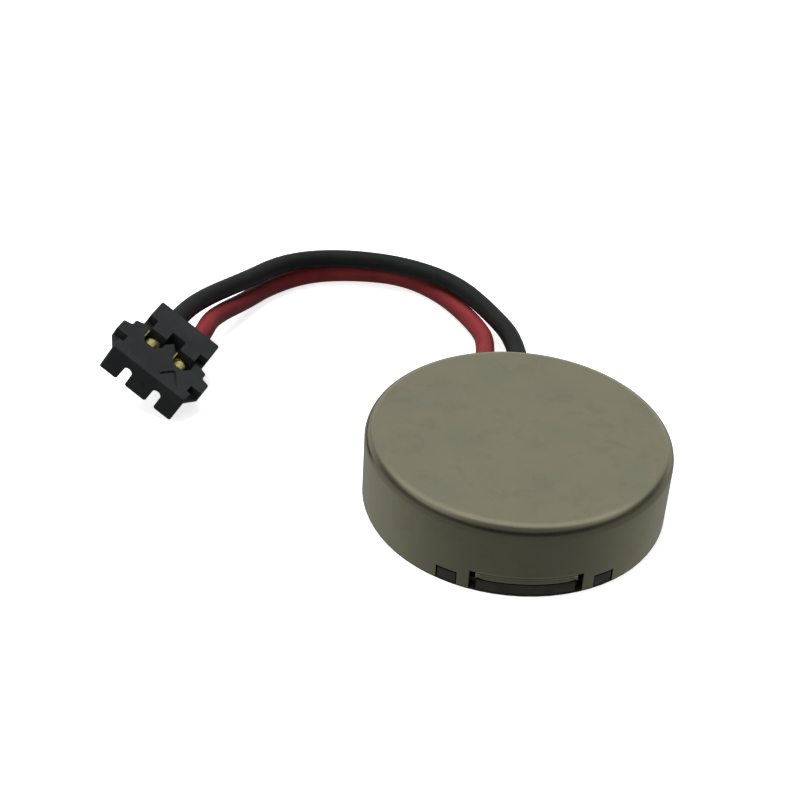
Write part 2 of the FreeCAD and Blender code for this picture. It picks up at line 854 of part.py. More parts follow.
def chevron_cutters():
    """Pin-one mark: two shallow grooves that meet at a point."""
    grooves = []
    for side, sign in (("left", -1), ("right", 1)):
        groove = doc.addObject("Part::Box", "chevron_" + side)
        bind(groove, "Length", "chevron_width")
        bind(groove, "Width", "chevron_length")
        bind(groove, "Height", "chevron_depth")
        turn = FreeCAD.Rotation(VERTICAL, 180 + sign * size("chevron_lean"))
        apex = FreeCAD.Vector(size("circuit_half_pitch"), size("chevron_apex_y"),
                              size("plug_height - chevron_depth"))
        half_width = turn.multVec(FreeCAD.Vector(-size("chevron_width") / 2, 0, 0))
        groove.Placement = FreeCAD.Placement(apex + half_width, turn)
        grooves.append(groove)
    return grooves


def lie_down(thing):
    """Turn and move a piece of the plug to where the plug lies."""
    thing.Placement = FreeCAD.Placement(PLUG_ORIGIN, PLUG_ROTATION)
    return thing


def make_plug_housing():
    body, rounded = make_plug_outline()
    top = size("plug_height")

    def top_edge(edge):
        return edge.BoundBox.ZMin > top - 1e-6

    round_edges(body, rounded, "plug_top_radius", top_edge)
    cutters = circuit_cutters("left", "-", -1) + circuit_cutters("right", "+", 1)
    cutters += mirrored_pair("ear_undercut", "ear_half_width", "block_start", "ear_foot",
                             "plug_half_width", None, None)
    cutters += mirrored_pair("ear_relief", "ear_half_width", "ear_start", "plug_height - web_top",
                             "plug_half_width", None, "web_top")
    cutters += mirrored_pair("ear_notch", "ear_half_width", "ear_start - ear_notch_start",
                             "plug_height - web_top", "ear_notch_x", "ear_notch_start", "web_top")
    cutters += mirrored_pair("corner_notch", "block_half_width", "latch_end - block_start",
                             "plug_height - corner_floor", "tooth_outer", "block_start",
                             "corner_floor")
    cutters.append(latch_cutter())
    cutters += chevron_cutters()
    gate = bar_along_y("gate_mark", "gate_radius", "gate_proud + gate_proud", None,
                       "- gate_proud", "gate_height")
    return lie_down(fuse("plug_housing", [cut("housing_cut", body, cutters), gate]))


def make_contact(name, sign):
    """Crimp contact: a rounded spring box, two legs, a strip and the crimp round the conductor."""
    centre = sign + " circuit_half_pitch"
    barrel = bar_along_y(name + "_barrel", "contact_radius", "contact_end - contact_start", centre,
                         "contact_start", "contact_axis")
    leg_depth = "contact_end - contact_start - contact_nose - contact_nose"
    leg_height = "contact_axis - contact_foot"
    leg_y = "contact_start + contact_nose"
    legs = [
        block(name + "_leg_left", "contact_leg", leg_depth, leg_height,
              centre + " - leg_reach", leg_y, "contact_foot"),
        block(name + "_leg_right", "contact_leg", leg_depth, leg_height,
              centre + " + leg_reach - contact_leg", leg_y, "contact_foot"),
    ]
    wire = sign + " wire_half_pitch"
    strip = block(name + "_strip", "strip_width_half + strip_width_half",
                  "crimp_end - contact_end + contact_nose", "strip_thickness",
                  wire + " - strip_width_half", "contact_end - contact_nose", "strip_low")
    riser = block(name + "_riser", "strip_width_half + strip_width_half", "contact_nose",
                  "contact_axis - strip_low", wire + " - strip_width_half",
                  "contact_end - contact_nose", "strip_low")
    crimp = bar_along_y(name + "_crimp", "crimp_radius", "crimp_end - crimp_start", wire,
                        "crimp_start", "wire_axis")
    bore = bar_along_y(name + "_bore", "crimp_bore", "crimp_end - crimp_start", wire,
                       "crimp_start", "wire_axis")
    wing = block(name + "_wing", "wing_thickness", "wing_length", "wing_top - wing_low",
                 centre + " - wing_reach", "wing_start", "wing_low")
    wing_foot = block(name + "_wing_foot", "wing_reach", "contact_nose", "wing_thickness",
                      centre + " - wing_reach", "contact_end - contact_nose", "wing_low")
    solid = fuse(name + "_solid", [barrel, strip, riser, crimp, wing, wing_foot] + legs)
    return lie_down(cut(name, solid, bore))


# --- assembly ------------------------------------------------------------------------------------

def make_all():
    fill_sheet()
    coils = [make_coil("coil_left", -1), make_coil("coil_right", 1)]
    counterweight = make_counterweight()
    black_lead, black_conductor, black_envelope = make_lead("black", BLACK_ROUTE)
    red_lead, red_conductor, red_envelope = make_lead("red", RED_ROUTE)
    nodes = [
        make_case_can(),
        make_base_plate(),
        make_adhesive_pad(),
        make_flex_circuit(),
        make_solder_pads(),
        make_ring_magnet(),
        make_shaft(),
        make_brush("brush_positive", "-"),
        make_brush("brush_negative", "+"),
        make_commutator_segments(),
        make_rotor_board(),
        counterweight,
        make_bearing_bush(),
        make_rotor_body(coils, counterweight),
        black_lead,
        black_conductor,
        red_lead,
        red_conductor,
        make_solder_joints([red_conductor, black_conductor]),
        make_strain_relief_glue([red_envelope, black_envelope, red_conductor, black_conductor]),
        make_plug_housing(),
        make_contact("contact_negative", "-"),
        make_contact("contact_positive", "+"),
    ]
    nodes += make_thrust_washers()
    nodes += coils
    doc.recompute()
    return nodes


def check(nodes):
    """Stop if any object of the document failed, or any sub-part has no valid shape."""
    for thing in doc.Objects:
        if "Invalid" in thing.State or "Error" in thing.State:
            raise RuntimeError("%s is %s" % (thing.Name, thing.State))
    for node in nodes:
        if node.Shape.isNull() or not node.Shape.isValid():
            raise RuntimeError("%s has no valid shape" % node.Name)


def write(nodes):
    os.makedirs(PARTS_FOLDER, exist_ok=True)
    for node in nodes:
        node.Label = node.Name
        node.Shape.exportStep(os.path.join(PARTS_FOLDER, node.Label + ".step"))
        print("%-22s solids %d  volume %.4f" % (node.Label, len(node.Shape.Solids), node.Shape.Volume))


sub_parts = make_all()
check(sub_parts)
write(sub_parts)
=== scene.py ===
import json
import math

import bmesh
import bpy
from mathutils import Matrix, Vector

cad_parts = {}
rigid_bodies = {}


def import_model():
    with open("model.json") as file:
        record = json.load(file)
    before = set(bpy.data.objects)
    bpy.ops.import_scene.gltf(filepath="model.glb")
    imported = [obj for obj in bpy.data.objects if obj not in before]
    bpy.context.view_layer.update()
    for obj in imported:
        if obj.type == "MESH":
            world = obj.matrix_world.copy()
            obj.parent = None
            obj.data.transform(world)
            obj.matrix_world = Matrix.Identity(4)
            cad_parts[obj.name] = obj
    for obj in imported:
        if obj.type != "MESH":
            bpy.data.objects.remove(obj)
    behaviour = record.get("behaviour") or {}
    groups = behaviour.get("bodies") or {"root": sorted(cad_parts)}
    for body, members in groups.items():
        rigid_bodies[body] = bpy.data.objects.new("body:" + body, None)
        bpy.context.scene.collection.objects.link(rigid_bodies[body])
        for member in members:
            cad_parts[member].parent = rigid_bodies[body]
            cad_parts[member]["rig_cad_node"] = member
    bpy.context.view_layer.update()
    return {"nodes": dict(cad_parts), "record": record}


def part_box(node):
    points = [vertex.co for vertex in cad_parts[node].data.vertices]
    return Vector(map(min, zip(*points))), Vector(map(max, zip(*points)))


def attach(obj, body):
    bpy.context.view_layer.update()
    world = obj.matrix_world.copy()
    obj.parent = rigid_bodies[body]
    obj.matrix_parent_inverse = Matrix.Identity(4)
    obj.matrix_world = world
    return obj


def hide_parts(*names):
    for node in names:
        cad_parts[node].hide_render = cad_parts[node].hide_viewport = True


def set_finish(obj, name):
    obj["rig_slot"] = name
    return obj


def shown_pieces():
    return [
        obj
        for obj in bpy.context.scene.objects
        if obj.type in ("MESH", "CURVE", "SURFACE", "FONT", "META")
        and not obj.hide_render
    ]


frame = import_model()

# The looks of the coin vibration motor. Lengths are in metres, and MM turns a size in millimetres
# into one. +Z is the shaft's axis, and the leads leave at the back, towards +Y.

MM = 0.001
UP = Vector((0, 0, 1))

scene = bpy.context.scene
nodes = frame["nodes"]
slot_of = {part["node"]: part["material_slot"] for part in frame["record"]["subparts"]}


# --- camera ----------------------------------------------------------------------------------------

CAMERA_ELEVATION = 34.8
CAMERA_ROLL = 3.21
CAMERA_TURN = -2.8
CAMERA_DISTANCE = 48.7 * MM
CAMERA_TARGET = Vector((0, 0, 1.35)) * MM
CAMERA_SIDESTEP = 3.8 * MM
CAMERA_RISE = -2.04 * MM
CAMERA_LENS = 67.04


def make_camera():
    """Camera in front of the motor and above it, a little rolled, with the motor right of its centre."""
    elevation = math.radians(CAMERA_ELEVATION)
    roll = math.radians(CAMERA_ROLL)
    back = Vector((0, -math.cos(elevation), math.sin(elevation)))
    level = Vector((1, 0, 0))
    raised = Vector((0, math.sin(elevation), math.cos(elevation)))
    right = math.cos(roll) * level + math.sin(roll) * raised
    up = math.cos(roll) * raised - math.sin(roll) * level
    place = CAMERA_TARGET - CAMERA_SIDESTEP * right - CAMERA_RISE * up + CAMERA_DISTANCE * back
    turn = Matrix.Rotation(math.radians(CAMERA_TURN), 3, "Z")
    pose = Matrix((turn @ right, turn @ up, turn @ back)).transposed().to_4x4()
    pose.translation = turn @ place
    data = bpy.data.cameras.new("camera")
    data.lens = CAMERA_LENS
    data.clip_start = 0.5 * MM
    data.clip_end = 10.0
    camera = bpy.data.objects.new("camera", data)
    camera.matrix_world = pose
    scene.collection.objects.link(camera)
    scene.camera = camera


make_camera()


# --- making pieces -----------------------------------------------------------------------------------

def new_piece(name, data, body, slot, *replaced):
    """Link an object to the scene, let it ride on a body and stand for CAD nodes."""
    piece = bpy.data.objects.new(name, data)
    scene.collection.objects.link(piece)
    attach(piece, body)
    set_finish(piece, slot)
    if replaced:
        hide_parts(*replaced)
    return piece


def mesh_from(name, vertices, faces):
    mesh = bpy.data.meshes.new(name)
    mesh.from_pydata(vertices, [], faces)
    mesh.validate()
    mesh.update()
    return mesh


def shade_smooth(piece, angle):
    """Smooth shading, with edges sharper than the angle left crisp."""
    piece.data.shade_smooth()
    piece.data.set_sharp_from_angle(angle=math.radians(angle))


def bevel(piece, width, angle, segments=3):
    """Round the edges sharper than the angle, and keep the flat faces flat to the light."""
    rounding = piece.modifiers.new("rounding", "BEVEL")
    rounding.width = width
    rounding.segments = segments
    rounding.limit_method = "ANGLE"
    rounding.angle_limit = math.radians(angle)
    flat = piece.modifiers.new("flat_faces", "WEIGHTED_NORMAL")
    flat.keep_sharp = True


# --- leads -------------------------------------------------------------------------------------------

# Centre lines of the leads, from the motor to the plug.
BLACK_ROUTE = [
    (0.00070, 0.00600, 0.00078),
    (0.00076, 0.00810, 0.00080),
    (-0.00015, 0.01010, 0.00091),
    (-0.00138, 0.01190, 0.00108),
    (-0.00320, 0.01310, 0.00109),
    (-0.00520, 0.01360, 0.00108),
    (-0.00700, 0.01350, 0.00110),
    (-0.00840, 0.01275, 0.00119),
    (-0.00950, 0.01125, 0.00135),
    (-0.01050, 0.01000, 0.00153),
    (-0.01115, 0.00900, 0.00168),
    (-0.01168, 0.00796, 0.00175),
    (-0.01227, 0.00639, 0.00171),
]
RED_ROUTE = [
    (-0.00070, 0.00600, 0.00078),
    (-0.00035, 0.00800, 0.00073),
    (-0.00065, 0.01000, 0.00038),
    (-0.00180, 0.01215, 0.00036),
    (-0.00340, 0.01355, 0.00036),
    (-0.00550, 0.01380, 0.00036),
    (-0.00730, 0.01350, 0.00036),
    (-0.00875, 0.01235, 0.00040),
    (-0.00965, 0.01090, 0.00055),
    (-0.01035, 0.00965, 0.00084),
    (-0.01075, 0.00860, 0.00107),
    (-0.01088, 0.00758, 0.00117),
    (-0.01140, 0.00608, 0.00112),
]
LEAD_RADIUS = 0.35 * MM
STRAND_COUNT = 7
STRAND_SIDES = 8
STRAND_RADIUS = 0.045 * MM
STRAND_STEP = 0.16 * MM
STRAND_TWIST = 3.2 * MM
STRIP_AT_MOTOR = 0.78 * MM
STRIP_AT_PLUG = 0.54 * MM


def route_curve(name, route):
    """Smooth line along a route: a NURBS spline with the route's points as its control points."""
    curve = bpy.data.curves.new(name, "CURVE")
    curve.dimensions = "3D"
    spline = curve.splines.new("NURBS")
    spline.points.add(len(route) - 1)
    for point, place in zip(spline.points, route):
        point.co = (*place, 1)
        point.radius = LEAD_RADIUS
    spline.order_u = 3
    spline.use_endpoint_u = True
    curve.resolution_u = 16
    return curve


def make_insulation(colour, route):
    """Insulation of a lead. Its points' radius is the lead's, so the bevel's depth is 1."""
    curve = route_curve(colour + "_insulation", route)
    curve.bevel_depth = 1.0
    curve.bevel_resolution = 10
    curve.use_fill_caps = True
    new_piece(colour + "_insulation", curve, "root", colour + "_insulation", colour + "_lead")


def points_along(route):
    """Points on the route's own smooth line."""
    line = bpy.data.objects.new("line", route_curve("line", route))
    mesh = bpy.data.meshes.new_from_object(line)
    points = [vertex.co.copy() for vertex in mesh.vertices]
    bpy.data.objects.remove(line)
    bpy.data.meshes.remove(mesh)
    return points


def evenly(points, step):
    """The same line with a point at every step of its length."""
    spaced = [points[0]]
    carried = 0.0
    for start, end in zip(points, points[1:]):
        run = (end - start).length
        if run == 0:
            continue
        reach = step - carried
        while reach <= run:
            spaced.append(start.lerp(end, reach / run))
            reach += step
        carried = run - (reach - step)
    return spaced


def make_strands(colour, route):
    """Seven twisted strands of a lead's conductor, one in the middle of six."""
    points = points_along(route)
    points.insert(0, points[0] + (points[0] - points[1]).normalized() * STRIP_AT_MOTOR)
    points.append(points[-1] + (points[-1] - points[-2]).normalized() * STRIP_AT_PLUG)
    points = evenly(points, STRAND_STEP)
    sides = STRAND_SIDES
    vertices = []
    faces = []
    for strand in range(STRAND_COUNT):
        reach = 0 if strand == 0 else 2 * STRAND_RADIUS
        first = len(vertices)
        normal = UP.copy()
        for index, point in enumerate(points):
            ahead = points[min(index + 1, len(points) - 1)] - points[max(index - 1, 0)]
            ahead.normalize()
            normal = (normal - ahead * normal.dot(ahead)).normalized()
            across = ahead.cross(normal)
            turn = 2 * math.pi * (strand / (STRAND_COUNT - 1) + index * STRAND_STEP / STRAND_TWIST)
            centre = point + reach * (math.cos(turn) * normal + math.sin(turn) * across)
            for side in range(sides):
                angle = 2 * math.pi * side / sides
                vertices.append(centre + STRAND_RADIUS * (math.cos(angle) * normal
                                                          + math.sin(angle) * across))
        rings = len(points)
        for ring in range(rings - 1):
            for side in range(sides):
                here = first + ring * sides
                following = (side + 1) % sides
                faces.append((here + side, here + following, here + sides + following,
                              here + sides + side))
        faces.append(tuple(first + side for side in reversed(range(sides))))
        faces.append(tuple(first + (rings - 1) * sides + side for side in range(sides)))
    name = colour + "_strands"
    piece = new_piece(name, mesh_from(name, vertices, faces), "root", "tinned_copper",
                      colour + "_lead_conductor")
    shade_smooth(piece, 60.0)


make_insulation("black", BLACK_ROUTE)
make_insulation("red", RED_ROUTE)
make_strands("black", BLACK_ROUTE)
make_strands("red", RED_ROUTE)


# --- can ---------------------------------------------------------------------------------------------

CAN_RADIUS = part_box("case_can")[1].x
CAN_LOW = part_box("case_can")[0].z
CAN_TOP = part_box("case_can")[1].z
CAN_WALL = 0.2 * MM
SHOULDER_RADIUS = 0.4 * MM
SLIT_TOP = CAN_LOW + 0.68 * MM
NOTCH_TOP = CAN_LOW + 0.46 * MM
EXIT_TOP = CAN_LOW + 0.74 * MM
LIP_LOW = CAN_LOW + 0.42 * MM
TAB_CORNER_WIDTH = 4.5
TAB_CORNER_HEIGHT = 0.15 * MM
CREASE_DEPTH = 0.06 * MM
CREASE_SHARE = 0.2
CREASE_END = 0.42
LIP_ROUNDING = 0.03 * MM
LIP_SHARE = 0.8
FRONT = 270.0
TAB_HALF = 18.3
SMALL_TAB_HALF = 12.9
SLIT = 2.2
TOOTH = 4.5
NOTCH = 8.2
EXIT_HALF = 21.5
TABS = [(FRONT, TAB_HALF), (140.0, SMALL_TAB_HALF), (40.0, SMALL_TAB_HALF)]
NOTCH_STARTS = [FRONT + TAB_HALF + SLIT + TOOTH, FRONT - TAB_HALF - SLIT - TOOTH - NOTCH]
EXIT_STATION = 90.0
COLUMN_STEP = 1.0
TAB_LEVELS = 18
UPPER_LEVELS = 6
SHOULDER_STEPS = 10
FACE_RINGS = [0.98, 0.94, 0.85, 0.7, 0.5, 0.3, 0.12]
SAME_LEVEL = 0.0001 * MM
CAN_EDGE_ROUNDING = 0.018 * MM


def rim_stretches():
    """The rim's openings and tabs as (start, end, kind), in degrees."""
    stretches = [(EXIT_STATION - EXIT_HALF, EXIT_STATION + EXIT_HALF, "exit")]
    for start in NOTCH_STARTS:
        stretches.append((start, start + NOTCH, "notch"))
    for station, half in TABS:
        stretches.append((station - half - SLIT, station - half, "slit"))
        stretches.append((station - half, station + half, "tab"))
        stretches.append((station + half, station + half + SLIT, "slit"))
    return stretches


LOWEST = {"wall": CAN_LOW, "notch": NOTCH_TOP, "slit": SLIT_TOP, "exit": EXIT_TOP, "tab": LIP_LOW}


def kind_at(angle, stretches):
    for start, end, kind in stretches:
        if start < angle < end:
            return kind
    return "wall"


def column_angles(stretches):
    """Angles of the can's columns: about one a degree, with one on each edge of an opening."""
    edges = sorted({edge % 360 for start, end, _ in stretches for edge in (start, end)})
    angles = []
    for start, end in zip(edges, edges[1:] + [edges[0] + 360]):
        count = max(1, round((end - start) / COLUMN_STEP))
        angles += [start + (end - start) * index / count for index in range(count)]
    return angles


def tab_groove(height):
    """How far a tab's face stands in from the wall at a height: a crease at its top, a rounded lip."""
    if height >= SLIT_TOP:
        return 0.0
    down = (SLIT_TOP - height) / (SLIT_TOP - LIP_LOW)
    if down < CREASE_SHARE:
        return CREASE_DEPTH * math.sin(down / CREASE_SHARE * math.pi / 2) ** 2
    if down < CREASE_END:
        past = (down - CREASE_SHARE) / (CREASE_END - CREASE_SHARE)
        return CREASE_DEPTH * math.cos(past * math.pi / 2) ** 2
    if down > LIP_SHARE:
        return LIP_ROUNDING * ((down - LIP_SHARE) / (1 - LIP_SHARE)) ** 2
    return 0.0


def tab_rise(angle):
    """How far a tab's rounded corners lift its lip at an angle."""
    for station, half in TABS:
        inset = half - abs(angle - station)
        if 0 <= inset < TAB_CORNER_WIDTH:
            share = 1 - inset / TAB_CORNER_WIDTH
            return TAB_CORNER_HEIGHT * (1 - math.sqrt(1 - share * share))
    return 0.0


def wall_heights():
    """Levels of the can's wall, close together where the tabs curve."""
    levels = {CAN_LOW, NOTCH_TOP, SLIT_TOP, EXIT_TOP, LIP_LOW}
    levels |= {LIP_LOW + (SLIT_TOP - LIP_LOW) * step / TAB_LEVELS for step in range(TAB_LEVELS)}
    upper = CAN_TOP - SHOULDER_RADIUS - EXIT_TOP
    levels |= {EXIT_TOP + upper * step / UPPER_LEVELS for step in range(1, UPPER_LEVELS + 1)}
    ordered = sorted(levels)
    kept = [ordered[0]]
    for level in ordered[1:]:
        if level - kept[-1] > SAME_LEVEL:
            kept.append(level)
    return kept


def shoulder_profile(wall):
    """(radius, height) points of the shoulder and the closed face, for a skin that far inside."""
    radius = SHOULDER_RADIUS - wall
    centre = (CAN_RADIUS - SHOULDER_RADIUS, CAN_TOP - SHOULDER_RADIUS)
    points = []
    for step in range(1, SHOULDER_STEPS + 1):
        turn = math.pi / 2 * step / SHOULDER_STEPS
        points.append((centre[0] + radius * math.cos(turn), centre[1] + radius * math.sin(turn)))
    points += [(centre[0] * share, CAN_TOP - wall) for share in FACE_RINGS]
    return points


def make_can():
    """Drawn can: an outer and an inner skin on one grid of columns and levels, joined at every edge."""
    stretches = rim_stretches()
    angles = column_angles(stretches)
    count = len(angles)
    ends = angles[1:] + [angles[0] + 360]
    kinds = [kind_at((start + end) / 2 % 360, stretches) for start, end in zip(angles, ends)]
    levels = wall_heights()
    vertices = []
    places = {}

    def vertex(skin, column, level):
        """Index of a wall vertex; a tab's columns have its crease, lip and rounded corners."""
        column %= count
        key = (skin, column, level)
        if key not in places:
            height = levels[level]
            groove = 0.0
            if "tab" in (kinds[column], kinds[column - 1]):
                groove = tab_groove(height)
                if height < SLIT_TOP:
                    height += tab_rise(angles[column]) * (SLIT_TOP - height) / (SLIT_TOP - LIP_LOW)
            radius = CAN_RADIUS - groove - (CAN_WALL if skin else 0.0)
            turn = math.radians(angles[column])
            places[key] = len(vertices)
            vertices.append((radius * math.cos(turn), radius * math.sin(turn), height))
        return places[key]

    faces = []
    edges = {}

    def skin_face(skin, corners):
        ordered = corners if skin == 0 else corners[::-1]
        faces.append(tuple(vertex(skin, *corner) for corner in ordered))

    def outer_edge(a, b):
        """Count an edge of the outer skin by its direction, to find the open ones."""
        if edges.pop((b, a), None) is None:
            edges[a, b] = True

    for column, kind in enumerate(kinds):
        for level in range(len(levels) - 1):
            if levels[level] < LOWEST[kind] - SAME_LEVEL:
                continue
            corners = [(column, level), (column + 1, level), (column + 1, level + 1), (column, level + 1)]
            for skin in (0, 1):
                skin_face(skin, corners)
            wrapped = [(corner[0] % count, corner[1]) for corner in corners]
            for a, b in zip(wrapped, wrapped[1:] + wrapped[:1]):
                outer_edge(a, b)
    top = len(levels) - 1
    for a, b in edges:
        if a[1] == top and b[1] == top:
            continue
        faces.append((vertex(0, *b), vertex(0, *a), vertex(1, *a), vertex(1, *b)))
    for skin in (0, 1):
        previous = [vertex(skin, column, top) for column in range(count)]
        for radius, height in shoulder_profile(CAN_WALL if skin else 0.0):
            ring = []
            for angle in angles:
                turn = math.radians(angle)
                ring.append(len(vertices))
                vertices.append((radius * math.cos(turn), radius * math.sin(turn), height))
            for column in range(count):
                following = (column + 1) % count
                face = (previous[column], previous[following], ring[following], ring[column])
                faces.append(face if skin == 0 else face[::-1])
            previous = ring
        faces.append(tuple(previous) if skin == 0 else tuple(reversed(previous)))
    piece = new_piece("can", mesh_from("can", vertices, faces), "root", "case_steel", "case_can")
    shade_smooth(piece, 40.0)
    bevel(piece, CAN_EDGE_ROUNDING, 50.0, segments=2)


make_can()


# --- plug --------------------------------------------------------------------------------------------

# How the plug lies: its own axes, across, along (towards the leads) and up, turned from the model's.
PLUG_ORIGIN = Vector((-12.968, 4.092, 0.84)) * MM
PLUG_TURNS = [(-19.2, "Z"), (32.4, "Y"), (1.9, "X")]
FOOT_ROUNDING = 0.1 * MM
FOOT_LENGTH = 1.0 * MM
SLOTTED_HALF = 1.0 * MM
EDGE_ROUNDING = 0.03 * MM
WELD_DISTANCE = 0.0005 * MM


def plug_axes():
    """Rotation from the plug's own axes to the model's."""
    turned = Matrix.Identity(3)
    for angle, axis in PLUG_TURNS:
        turned = turned @ Matrix.Rotation(math.radians(angle), 3, axis)
    return turned


def clean_mesh(node):
    """A CAD node's shape with its flat faces made whole, open for editing."""
    work = bmesh.new()
    work.from_mesh(nodes[node].data)
    bmesh.ops.remove_doubles(work, verts=work.verts, dist=WELD_DISTANCE)
    bmesh.ops.dissolve_limit(work, angle_limit=math.radians(1.0), verts=work.verts, edges=work.edges)
    return work


def finish_piece(work, node, name):
    """Turn an edited mesh into the piece that stands for its node, with its edges softened."""
    mesh = bpy.data.meshes.new(name)
    work.to_mesh(mesh)
    work.free()
    piece = new_piece(name, mesh, "root", slot_of[node], node)
    shade_smooth(piece, 30.0)
    bevel(piece, EDGE_ROUNDING, 30.0)


def make_plug_shell():
    """Housing of the plug, with the slots' lower corners rounded."""
    work = clean_mesh("plug_housing")
    across, towards_leads, up = plug_axes().col
    feet = []
    for edge in work.edges:
        start, end = (vertex.co - PLUG_ORIGIN for vertex in edge.verts)
        along = (end - start).normalized().dot(towards_leads)
        at_foot = max(abs(start.dot(up)), abs(end.dot(up))) < EDGE_ROUNDING
        at_slot = abs(start.dot(across)) < SLOTTED_HALF and (end - start).length > FOOT_LENGTH
        if at_foot and at_slot and abs(along) > 0.99:
            feet.append(edge)
    bmesh.ops.bevel(work, geom=feet, offset=FOOT_ROUNDING, segments=4, profile=0.5, affect="EDGES",
                    clamp_overlap=True)
    finish_piece(work, "plug_housing", "plug_shell")


def make_terminal(node, name):
    """Stamped contact with its barrel and cut edges softened."""
    finish_piece(clean_mesh(node), node, name)


make_plug_shell()
make_terminal("contact_negative", "negative_terminal")
make_terminal("contact_positive", "positive_terminal")


# --- materials ---------------------------------------------------------------------------------------

# Heights between which the can's rounded shoulder gets painted shade: a darker band that stands in for the
# dark reflection along the shoulder.
PAINTED_SHADE_FOOT = CAN_TOP - SHOULDER_RADIUS
PAINTED_SHADE_TOP = CAN_TOP - 0.02 * MM
PAINTED_SHADE_RISE = 0.2 * MM
PAINTED_SHADE_FADE = 0.05 * MM


class Finish:
    """A material with one Principled shader, and small helpers that add procedural detail to it."""

    def __init__(self, name, colour, roughness, metallic=0.0):
        self.material = bpy.data.materials.new(name)
        self.material.use_nodes = True
        self.tree = self.material.node_tree
        self.shader = self.tree.nodes["Principled BSDF"]
        self.colour = colour
        self.shader.inputs["Base Color"].default_value = (*colour, 1)
        self.shader.inputs["Roughness"].default_value = roughness
        self.shader.inputs["Metallic"].default_value = metallic
        self.place = self.tree.nodes.new("ShaderNodeTexCoord")
        self.height = None

    def node(self, kind, **settings):
        made = self.tree.nodes.new("ShaderNode" + kind)
        for key, value in settings.items():
            setattr(made, key, value)
        return made

    def link(self, source, target):
        self.tree.links.new(source, target)

    def where(self, stretch):
        """Object coordinates in millimetres, stretched along the axes."""
        mapping = self.node("Mapping", vector_type="TEXTURE")
        mapping.inputs["Scale"].default_value = [MM * share for share in stretch]
        self.link(self.place.outputs["Object"], mapping.inputs["Vector"])
        return mapping.outputs["Vector"]

    def noise(self, scale, detail=3.0, roughness=0.55, stretch=(1, 1, 1), distortion=0.0):
        """Soft noise with that many features a millimetre."""
        texture = self.node("TexNoise")
        texture.inputs["Scale"].default_value = scale
        texture.inputs["Detail"].default_value = detail
        texture.inputs["Roughness"].default_value = roughness
        texture.inputs["Distortion"].default_value = distortion
        self.link(self.where(stretch), texture.inputs["Vector"])
        return texture.outputs["Fac"]

    def range(self, value, low, high, to_low=0.0, to_high=1.0):
        """Stretch the part of a value between low and high to a new range."""
        mapped = self.node("MapRange", interpolation_type="SMOOTHSTEP")
        for socket, number in (("From Min", low), ("From Max", high), ("To Min", to_low),
                               ("To Max", to_high)):
            mapped.inputs[socket].default_value = number
        self.link(value, mapped.inputs["Value"])
        return mapped.outputs["Result"]

    def tint(self, share, colour):
        """Blend the base colour towards another where share is high."""
        mix = self.node("Mix", data_type="RGBA")
        socket = self.shader.inputs["Base Color"]
        if socket.is_linked:
            self.link(socket.links[0].from_socket, mix.inputs["A"])
        else:
            mix.inputs["A"].default_value = (*self.colour, 1)
        mix.inputs["B"].default_value = (*colour, 1)
        self.link(share, mix.inputs["Factor"])
        self.link(mix.outputs["Result"], socket)

    def rough(self, share, low, high):
        """Let the roughness run from low to high with share."""
        self.link(self.range(share, 0.0, 1.0, low, high), self.shader.inputs["Roughness"])

    def level(self, low, high):
        """Share that eases from 0 at one height of the model to 1 at another."""
        split = self.node("SeparateXYZ")
        self.link(self.place.outputs["Object"], split.inputs[0])
        return self.range(split.outputs["Z"], low, high)

    def both(self, first, second):
        """Product of two shares."""
        product = self.node("Math", operation="MULTIPLY")
        self.link(first, product.inputs[0])
        self.link(second, product.inputs[1])
        return product.outputs[0]

    def bump(self, height, depth, strength=1.0):
        """Raise the surface by up to depth, on top of earlier bumps."""
        bumped = self.node("Bump")
        bumped.inputs["Distance"].default_value = depth
        bumped.inputs["Strength"].default_value = strength
        self.link(height, bumped.inputs["Height"])
        if self.height is not None:
            self.link(self.height, bumped.inputs["Normal"])
        self.height = bumped.outputs["Normal"]
        self.link(self.height, self.shader.inputs["Normal"])


def case_steel():
    """Satin nickel plate on drawn steel: faint cloudy mottling, a fine grain and painted shade on the
    rounded shoulder.
    """
    finish = Finish("case_steel", (0.70, 0.69, 0.475), 0.24, metallic=1.0)
    cloud = finish.noise(0.5, detail=5.0)
    finish.tint(finish.range(cloud, 0.35, 0.7), (0.645, 0.655, 0.465))
    patches = finish.noise(1.3, detail=4.0, distortion=0.6)
    finish.tint(finish.range(patches, 0.5, 0.75, 0.0, 0.6), (0.61, 0.58, 0.405))
    speckle = finish.noise(9.0, detail=3.0, roughness=0.7)
    finish.tint(finish.range(speckle, 0.58, 0.8, 0.0, 0.45), (0.76, 0.75, 0.545))
    # Painted shade: a darker band on the shoulder, between its foot and the flat face, standing in for the
    # dark reflection there.
    above_foot = finish.level(PAINTED_SHADE_FOOT, PAINTED_SHADE_FOOT + PAINTED_SHADE_RISE)
    on_face = finish.level(PAINTED_SHADE_TOP - PAINTED_SHADE_FADE, PAINTED_SHADE_TOP)
    painted_shade_ring = finish.both(above_foot, finish.range(on_face, 0.0, 1.0, 1.0, 0.0))
    finish.tint(painted_shade_ring, (0.5, 0.49, 0.34))
    finish.rough(finish.noise(2.2, detail=4.0), 0.2, 0.3)
    finish.bump(finish.noise(22.0, detail=2.0, roughness=0.6), 0.003 * MM, 0.4)
    finish.bump(finish.noise(1.6, detail=2.0), 0.004 * MM, 0.25)
    return finish.material


def plate_steel():
    """Dull plated steel of the base, coloured darker than the plate is to paint the shade under the can's
    lip.
    """
    # Painted shade: the base colour is kept dark so that the plate's ears under the can's lip look shaded.
    finish = Finish("plate_steel", (0.27, 0.265, 0.23), 0.5, metallic=1.0)
    finish.tint(finish.range(finish.noise(1.2, detail=4.0), 0.4, 0.7), (0.2, 0.195, 0.17))
    finish.rough(finish.noise(3.0), 0.42, 0.6)
    finish.bump(finish.noise(14.0), 0.004 * MM, 0.5)
    return finish.material


